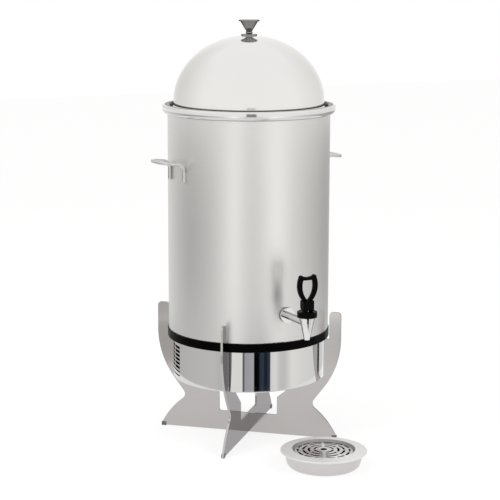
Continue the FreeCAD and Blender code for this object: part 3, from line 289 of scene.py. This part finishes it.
class Finish:
    """A surface finish worked out from the piece's own coordinates, in metres."""

    def __init__(self, name, color, metallic, roughness, **fixed):
        self.material = bpy.data.materials.new(name)
        self.material.use_nodes = True
        self.tree = self.material.node_tree
        self.skin = self.tree.nodes["Principled BSDF"]
        self.color = color
        self.roughness = roughness
        self.skin.inputs["Base Color"].default_value = (*color, 1.0)
        self.skin.inputs["Metallic"].default_value = metallic
        self.skin.inputs["Roughness"].default_value = roughness
        for label, amount in fixed.items():
            self.skin.inputs[label.replace("_", " ")].default_value = amount
        self.place = self.node("ShaderNodeTexCoord").outputs["Object"]

    def node(self, kind, settings=None, sockets=None):
        """Adds a node: its settings first, then each socket's value or link."""
        made = self.tree.nodes.new(kind)
        for label, setting in (settings or {}).items():
            setattr(made, label, setting)
        for label, given in (sockets or {}).items():
            source = given.socket if isinstance(given, Value) else given
            if isinstance(source, bpy.types.NodeSocket):
                self.tree.links.new(source, made.inputs[label])
            else:
                made.inputs[label].default_value = source
        return made

    def scaled(self, x, y, z, centre=(0.0, 0.0, 0.0)):
        """The coordinates from a centre, each axis times its own factor."""
        back = tuple(-c * f for c, f in zip(centre, (x, y, z)))
        made = self.node("ShaderNodeVectorMath", {"operation": "MULTIPLY_ADD"},
                         {0: self.place, 1: (x, y, z), 2: back})
        return made.outputs[0]

    def distance(self, centre=(0.0, 0.0, 0.0)):
        """How far a point is from the upright line through a centre."""
        made = self.node("ShaderNodeVectorMath", {"operation": "LENGTH"},
                         {0: self.scaled(1.0, 1.0, 0.0, centre)})
        return Value(self, made.outputs["Value"])

    def facing(self, way):
        """How far the surface faces one way: 1 square on, 0 side on, -1 away."""
        normal = self.node("ShaderNodeTexCoord").outputs["Normal"]
        made = self.node("ShaderNodeVectorMath", {"operation": "DOT_PRODUCT"}, {0: normal, 1: way})
        return Value(self, made.outputs["Value"])

    def outward(self, centre):
        """Above 0 where a cup's surface faces out from its axis or down, below 0 inside it."""
        flat = self.node("ShaderNodeVectorMath", {"operation": "NORMALIZE"},
                         {0: self.scaled(1.0, 1.0, 0.0, centre)})
        tilted = self.node("ShaderNodeVectorMath", {"operation": "SUBTRACT"},
                           {0: flat.outputs[0], 1: (0.0, 0.0, 1.0)})
        normal = self.node("ShaderNodeTexCoord").outputs["Normal"]
        made = self.node("ShaderNodeVectorMath", {"operation": "DOT_PRODUCT"},
                         {0: normal, 1: tilted.outputs[0]})
        return Value(self, made.outputs["Value"])

    def axis(self, letter):
        """The coordinate along one axis, named by its letter."""
        made = self.node("ShaderNodeSeparateXYZ", sockets={0: self.place})
        return Value(self, made.outputs[letter])

    def noise(self, place, scale=1.0, detail=2.0, rough=0.5):
        """Smooth random value round 0.5 at each place."""
        made = self.node("ShaderNodeTexNoise", sockets={
            "Vector": place, "Scale": scale, "Detail": detail, "Roughness": rough})
        return Value(self, made.outputs[0])

    def rings(self, radius, scale):
        """Random value that changes only with a radius, for spun and turned marks."""
        made = self.node("ShaderNodeTexNoise", {"noise_dimensions": "1D"}, {
            "W": radius, "Scale": scale, "Detail": 3.0})
        return Value(self, made.outputs[0])

    def paint(self, amount, other):
        """Moves the colour towards another one by an amount; later coats lie on earlier ones."""
        under = self.skin.inputs["Base Color"]
        first = under.links[0].from_socket if under.is_linked else (*self.color, 1.0)
        made = self.node("ShaderNodeMix", {"data_type": "RGBA", "clamp_factor": True},
                         {"Factor": amount, "A": first, "B": (*other, 1.0)})
        self.tree.links.new(made.outputs["Result"], under)

    def paint_shade(self, amount, shade_color):
        """Paints the metal dull and dark by an amount, as painted shade."""
        self.paint(amount, shade_color)
        self.tree.links.new((1.0 - amount).socket, self.skin.inputs["Metallic"])
        self.skin.inputs["Specular IOR Level"].default_value = 0.02

    def rough(self, change):
        """Adds a value to the roughness."""
        self.tree.links.new((change + self.roughness).socket, self.skin.inputs["Roughness"])

    def relief(self, height, depth):
        """Bump from a value, with the depth in metres for a height of one."""
        made = self.node("ShaderNodeBump", sockets={"Distance": depth, "Height": height})
        self.tree.links.new(made.outputs[0], self.skin.inputs["Normal"])


def dress(finish, *names):
    """Gives the finish to the named nodes."""
    for name in names:
        mesh = nodes[name].data
        for place in range(len(mesh.materials)):
            mesh.materials[place] = finish.material


line_depth = 0.0000006


def steel(name, color, roughness, grain, cloud, tone, **fixed):
    """Stainless sheet: grain gives the factors that draw its lines out along one way.

    The lines and soft clouds darken it by the share called tone, and clouds and smears change
    its roughness by about the amount called cloud.
    """
    finish = Finish(name, color, 1.0, roughness, **fixed)
    lines = finish.noise(finish.scaled(*grain), 1.0, 3.0, 0.6)
    clouds = finish.noise(finish.scaled(1.0, 1.0, 1.0), 14.0, 3.0, 0.55)
    smears = finish.noise(finish.scaled(1.0, 1.0, 0.6), 55.0, 4.0, 0.6).step(0.56, 0.74)
    finish.paint((clouds.step(0.35, 0.7) + lines) * tone, tuple(c * 0.9 for c in color))
    change = (lines - 0.5) * (roughness * 0.5) + (clouds - 0.5) * cloud + smears * (cloud * 0.5)
    finish.rough(change)
    finish.relief(lines, line_depth)
    return finish


vessel_steel = steel("satin vessel steel", (0.80, 0.795, 0.785), 0.35, grain=(26.0, 26.0, 2600.0),
                     cloud=0.03, tone=0.06)
dress(vessel_steel, "vessel_shell")


# Mouth collar
# Sheet rolled into a bead round the mouth and polished outside. The lip inside it and the ledge
# under the lid are painted dull and dark as shade in the gap round the lid, and a painted shade line
# runs under the bead.

gap_shade_dark = (0.06, 0.054, 0.052)
gap_shade_radius = 0.1400
gap_shade_level = 0.5565
bead_underside = (0.5500, 0.5515)
bead_shade_strength = 0.8

collar_steel = steel("polished collar steel", (0.80, 0.785, 0.78), 0.08,
                     grain=(40.0, 40.0, 1800.0), cloud=0.02, tone=0.06)
from_axis = collar_steel.distance()
outside_face = from_axis.step(gap_shade_radius - 0.0006, gap_shade_radius)
above_bead = collar_steel.axis("Z").step(gap_shade_level, gap_shade_level + 0.0005)
# Painted shade: the lip inside the bead and the ledge under the lid are painted dull and dark.
collar_steel.paint_shade((1.0 - outside_face) * above_bead, gap_shade_dark)
# Painted shade: a dark line painted under the bead.
bead_underside_shade = (1.0 - collar_steel.axis("Z").step(*bead_underside)) * bead_shade_strength
collar_steel.paint(bead_underside_shade, (0.16, 0.15, 0.15))
dress(collar_steel, "mouth_collar")


# Lid
# Dome spun from one disc and polished bright, which leaves faint rings round its axis.
# Its skirt stands on the ledge inside the collar; the real skirt stays as spun, without polish, but
# here it has the dome's finish.

lid_steel = Finish("spun lid steel", (0.82, 0.812, 0.80), metallic=1.0, roughness=0.10)
lid_rings = lid_steel.rings(lid_steel.distance(), scale=900.0)
lid_clouds = lid_steel.noise(lid_steel.scaled(1.0, 1.0, 1.0), 11.0, 3.0)
lid_steel.paint(lid_clouds.step(0.35, 0.75) * 0.3, (0.80, 0.792, 0.78))
lid_steel.rough((lid_rings - 0.5) * 0.03 + (lid_clouds - 0.5) * 0.03)
lid_steel.relief(lid_rings, 0.000002)
dress(lid_steel, "lid_dome")


# Knob
# Turned and chromed: disc, bead and a cone with a thin cap, on a screw from inside.
# Turning leaves fine rings; the rubber washer under the screw keeps the dome tight.

knob_chrome = Finish("knob chrome", (0.27, 0.262, 0.260), metallic=1.0, roughness=0.06,
                     Specular_Tint=(0.0, 0.0, 0.0, 1.0))
knob_marks = knob_chrome.rings(knob_chrome.distance(), scale=2400.0)
knob_chrome.paint(knob_marks.step(0.4, 0.8) * 0.4, (0.28, 0.28, 0.28))
knob_chrome.rough((knob_marks - 0.5) * 0.05)
knob_chrome.relief(knob_marks, 0.000003)
dress(knob_chrome, "lid_knob", "knob_washer", "knob_bead")


def hardware(name, color, roughness, scale=400.0):
    """Small metal parts: fine random mottling in tone and roughness."""
    finish = Finish(name, color, 1.0, roughness)
    fine = finish.noise(finish.scaled(1.0, 1.0, 1.0), scale, 3.0, 0.6)
    finish.paint(fine.step(0.45, 0.7) * 0.6, tuple(c * 0.82 for c in color))
    finish.rough((fine - 0.5) * (roughness * 0.5))
    finish.relief(fine, 0.000006)
    return finish


def moulded(name, color, roughness, scale=900.0, depth=0.00001, **fixed):
    """Moulded plastic or rubber: orange-peel relief and worn, slightly paler patches."""
    finish = Finish(name, color, 0.0, roughness, **fixed)
    peel = finish.noise(finish.scaled(1.0, 1.0, 1.0), scale, 2.0, 0.5)
    worn = finish.noise(finish.scaled(1.0, 1.0, 1.0), 60.0, 4.0, 0.6).step(0.5, 0.75)
    finish.paint(worn * 0.5, tuple(min(1.0, c * 1.3 + 0.0004) for c in color))
    finish.rough((peel - 0.5) * 0.1 + worn * 0.08)
    finish.relief(peel, depth)
    return finish


zinc = hardware("zinc fastener", (0.60, 0.60, 0.60), 0.38)
rubber = moulded("black rubber", (0.02, 0.02, 0.02), 0.65, scale=500.0, depth=0.00003)
dress(zinc, "knob_screw")
dress(rubber, "lid_pad")


# Carry handles
# Round rod bent cold and polished, each end welded to the wall with a small bead.

handle_steel = hardware("polished handle rod", (0.66, 0.655, 0.65), 0.10, scale=220.0)
dress(handle_steel, "carry_handle_left", "carry_handle_right")


# Moulded ring
# Glossy black moulding that carries the vessel and hides the drum's top edge.

jet_black = (0.0006, 0.0006, 0.0006)
ring_black = moulded("black ring moulding", jet_black, 0.30, scale=500.0, depth=0.000008,
                     Specular_IOR_Level=0.03)
dress(ring_black, "moulded_ring")


# Base drum
# Drum drawn from polished sheet; the vents are punched through its side. Inside, it is
# painted near black and dull as shade, and so the slots look black.

drum_inside_radius = 0.1264
drum_floor = (0.1045, 0.1049)
drum_steel = steel("polished drum steel", (0.80, 0.785, 0.78), 0.035,
                   grain=(20.0, 20.0, 1500.0), cloud=0.015, tone=0.12)
drum_skin = drum_steel.distance().step(drum_inside_radius - 0.0002, drum_inside_radius + 0.0002)
# Painted shade: the drum's inside above its floor is painted near black and dull.
drum_inside_shade = (1.0 - drum_skin) * drum_steel.axis("Z").step(*drum_floor)
drum_steel.paint_shade(drum_inside_shade, (0.006, 0.006, 0.006))
dress(drum_steel, "base_drum")
dress(zinc, "tie_bolts", "tie_nuts")


# Tap
# Cast body, chrome plated, with a black screw cap, a soft seat cup and rubber washers.

tap_chrome = Finish("tap chrome", (0.84, 0.84, 0.845), metallic=1.0, roughness=0.05,
                    Specular_Tint=(0.15, 0.15, 0.15, 1.0))
tap_waves = tap_chrome.noise(tap_chrome.scaled(1.0, 1.0, 1.0), 160.0, 2.0)
tap_chrome.paint(tap_waves.step(0.5, 0.8) * 0.4, (0.70, 0.70, 0.71))
tap_chrome.rough((tap_waves - 0.5) * 0.05)
tap_chrome.relief(tap_waves, 0.00002)
dress(tap_chrome, "tap_body", "tap_nut")
dress(rubber, "tap_gasket", "tap_inner_gasket")
cap_black = moulded("black screw cap", jet_black, 0.32, scale=1200.0, Specular_IOR_Level=0.05)
lever_black = moulded("black lever moulding", jet_black, 0.24, scale=700.0,
                      Specular_IOR_Level=0.05)
dress(cap_black, "tap_bonnet")
dress(lever_black, "tap_lever")
dress(moulded("black lever pin", (0.006, 0.006, 0.006), 0.3, Specular_IOR_Level=0.2), "tap_pin")
dress(moulded("white stem plastic", (0.78, 0.77, 0.73), 0.4), "tap_stem")
dress(moulded("soft seat silicone", (0.70, 0.68, 0.63), 0.5), "tap_seal")


# Cross stand
# Two laser-cut plates with a fine satin finish, slotted into each other, on small glides.

plate_steel = steel("satin stand plate", (0.56, 0.535, 0.527), 0.10, grain=(9.0, 9.0, 700.0),
                    cloud=0.03, tone=0.08, Specular_Tint=(0.60, 0.60, 0.62, 1.0))
dress(plate_steel, "stand_plate_front_left", "stand_plate_front_right")
dress(moulded("grey glide", (0.14, 0.13, 0.13), 0.45), "foot_glides")


# Heater and controls
# Sealed in the base: spreader, sheathed element, mineral pad, clamp plate and controls.

dress(hardware("rolled aluminium", (0.78, 0.78, 0.79), 0.35), "heat_spreader", "thermal_cutoff")
dress(hardware("annealed sheath", (0.34, 0.31, 0.27), 0.45), "heating_element")
dress(moulded("mineral felt", (0.80, 0.77, 0.66), 0.95, scale=350.0, depth=0.0004),
      "insulation_pad")
dress(zinc, "clamp_plate", "centre_stud", "centre_nut", "block_screws")
dress(moulded("brown thermostat", (0.07, 0.05, 0.04), 0.45), "thermostat")
dress(moulded("pale terminal block", (0.80, 0.78, 0.70), 0.45), "terminal_block")
dress(moulded("red silicone sleeve", (0.35, 0.04, 0.03), 0.55),
      "thermostat_lead", "cutoff_lead", "element_leads")
dress(moulded("black gland", (0.012, 0.012, 0.012), 0.45), "cord_gland", "gland_nut")


# Drip tray
# Pressed bowl and flange in satin steel, with a slotted grid that lies in the well.
# Inside the well, the flange's wall, the bowl and the grid's slot sides are painted dark as shade.

tray_place = (0.02116, -0.22380, 0.0)
tray_well_radius = 0.0522
facing_up = (0, 0, 1)


def tray_finish(name, color, metallic, roughness):
    """Satin pressed steel with faint rings round the tray's own axis."""
    finish = Finish(name, color, metallic, roughness)
    rings = finish.rings(finish.distance(tray_place), scale=1100.0)
    clouds = finish.noise(finish.scaled(1.0, 1.0, 1.0), 40.0, 3.0)
    finish.paint(clouds.step(0.4, 0.75) * 0.5, tuple(c * 0.96 for c in color))
    finish.rough((rings - 0.5) * 0.06 + (clouds - 0.5) * 0.06)
    finish.relief(rings, 0.000002)
    return finish


flange_steel = tray_finish("satin flange steel", (0.84, 0.825, 0.82), metallic=0.55, roughness=0.40)
beyond_well = flange_steel.distance(tray_place).step(tray_well_radius, tray_well_radius + 0.0004)
# Painted shade: the well's wall, where it doesn't face up, is painted dark.
well_wall_shade = (1.0 - beyond_well) * (1.0 - flange_steel.facing(facing_up).step(0.5, 0.8))
flange_steel.paint(well_wall_shade, (0.03, 0.025, 0.022))
bowl_steel = tray_finish("satin bowl steel", (0.71, 0.685, 0.68), metallic=1.0, roughness=0.30)
# Painted shade: the bowl's inside faces are painted near black and dull.
bowl_steel.paint_shade(1.0 - bowl_steel.outward(tray_place).step(-0.2, 0.2), (0.004, 0.004, 0.004))
grid_steel = hardware("pressed grid steel", (0.82, 0.81, 0.805), 0.16, scale=160.0)
# Painted shade: the grid's slot sides and underside are painted near black and dull.
grid_steel.paint_shade(1.0 - grid_steel.facing(facing_up).step(0.4, 0.8), (0.006, 0.006, 0.006))
dress(flange_steel, "tray_flange")
dress(bowl_steel, "tray_bowl")
dress(grid_steel, "drip_grid")
